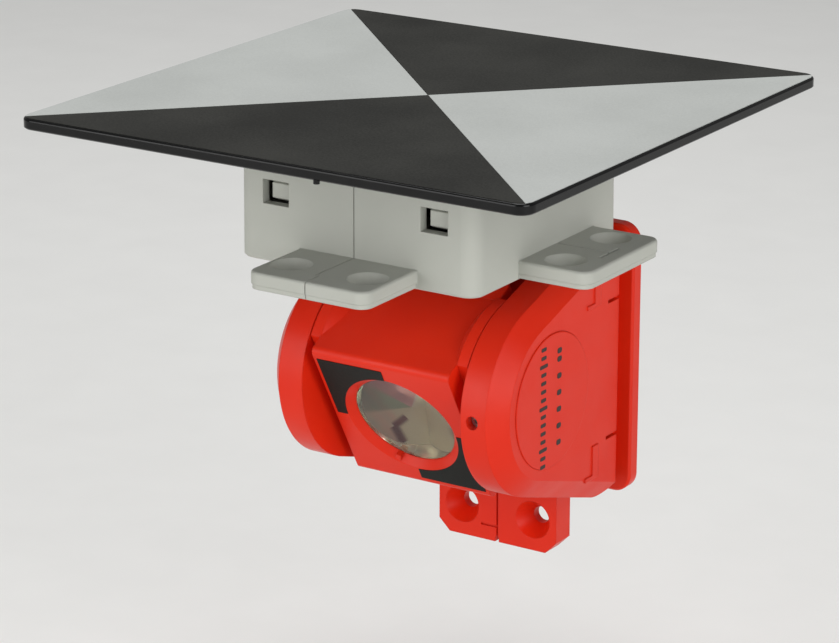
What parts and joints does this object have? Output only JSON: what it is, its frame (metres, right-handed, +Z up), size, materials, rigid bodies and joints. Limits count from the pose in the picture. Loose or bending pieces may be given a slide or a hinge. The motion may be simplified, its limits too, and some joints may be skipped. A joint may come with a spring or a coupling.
{
  "type": "survey prism",
  "caption": "Wall-held survey prism: a glass corner cube in a tilting red holder between two cheeks, under a grey bracket with a square quartered target plate.",
  "frame": {"origin": "middle of the wall flange's back face, level with the tilt axis", "axes": "+Y into the wall, the glass looks along -Y, +X to the instrument's right, +Z up"},
  "size_m": [0.13, 0.13, 0.119],
  "materials": {
    "red_plastic": "red moulded plastic, satin gloss",
    "grey_plastic": "light grey moulded plastic, fine texture",
    "natural_plastic": "natural acetal, smooth",
    "board_black": "black board with glossy edges",
    "foil_white": "white reflective foil",
    "foil_black": "black foil, fine texture",
    "mark_black": "black printed film",
    "glass": "optical glass, polished",
    "rubber_black": "black nitrile rubber",
    "foam_black": "black adhesive foam",
    "steel": "stainless steel, machined"
  },
  "bodies": {
    "mount": {"wall_flange": "red_plastic", "cheek_right": "red_plastic", "cheek_left": "red_plastic", "hub_cap_right": "red_plastic", "hub_cap_left": "red_plastic", "bush_right": "natural_plastic", "bush_left": "natural_plastic", "friction_washer_right": "rubber_black", "friction_washer_left": "rubber_black", "cheek_screws_right": "steel", "cheek_screws_left": "steel", "bracket_half_left": "grey_plastic", "bracket_half_right": "grey_plastic", "bracket_joint_screws": "steel", "bracket_lug_screws": "steel", "bracket_lug_nuts": "steel", "plate_carrier": "grey_plastic", "plate_pad": "foam_black", "target_plate": "board_black", "foil_black_back": "foil_black", "foil_black_front": "foil_black", "foil_white_left": "foil_white", "foil_white_right": "foil_white"},
    "prism_holder": {"holder_body": "red_plastic", "holder_back_cover": "red_plastic", "holder_cover_screws": "steel", "glass_prism": "glass", "glass_o_ring": "rubber_black", "prism_cradle": "natural_plastic", "sight_mark_upper": "mark_black", "sight_mark_lower": "mark_black", "trunnion_right": "steel", "trunnion_left": "steel", "circlip_right": "steel", "circlip_left": "steel"},
    "clamp_screw": {"tilt_clamp_screw": "steel"}
  },
  "joints": [
    {"name": "prism_tilt", "type": "hinge", "parent": "mount", "child": "prism_holder", "pos_m": [0, -0.0368, 0], "axis": [1, 0, 0], "continuous": true},
    {"name": "clamp_turn", "type": "hinge", "parent": "mount", "child": "clamp_screw", "pos_m": [0.0244, -0.055, 0], "axis": [0, -1, 0], "range_deg": [-180, 0]}
  ]
}
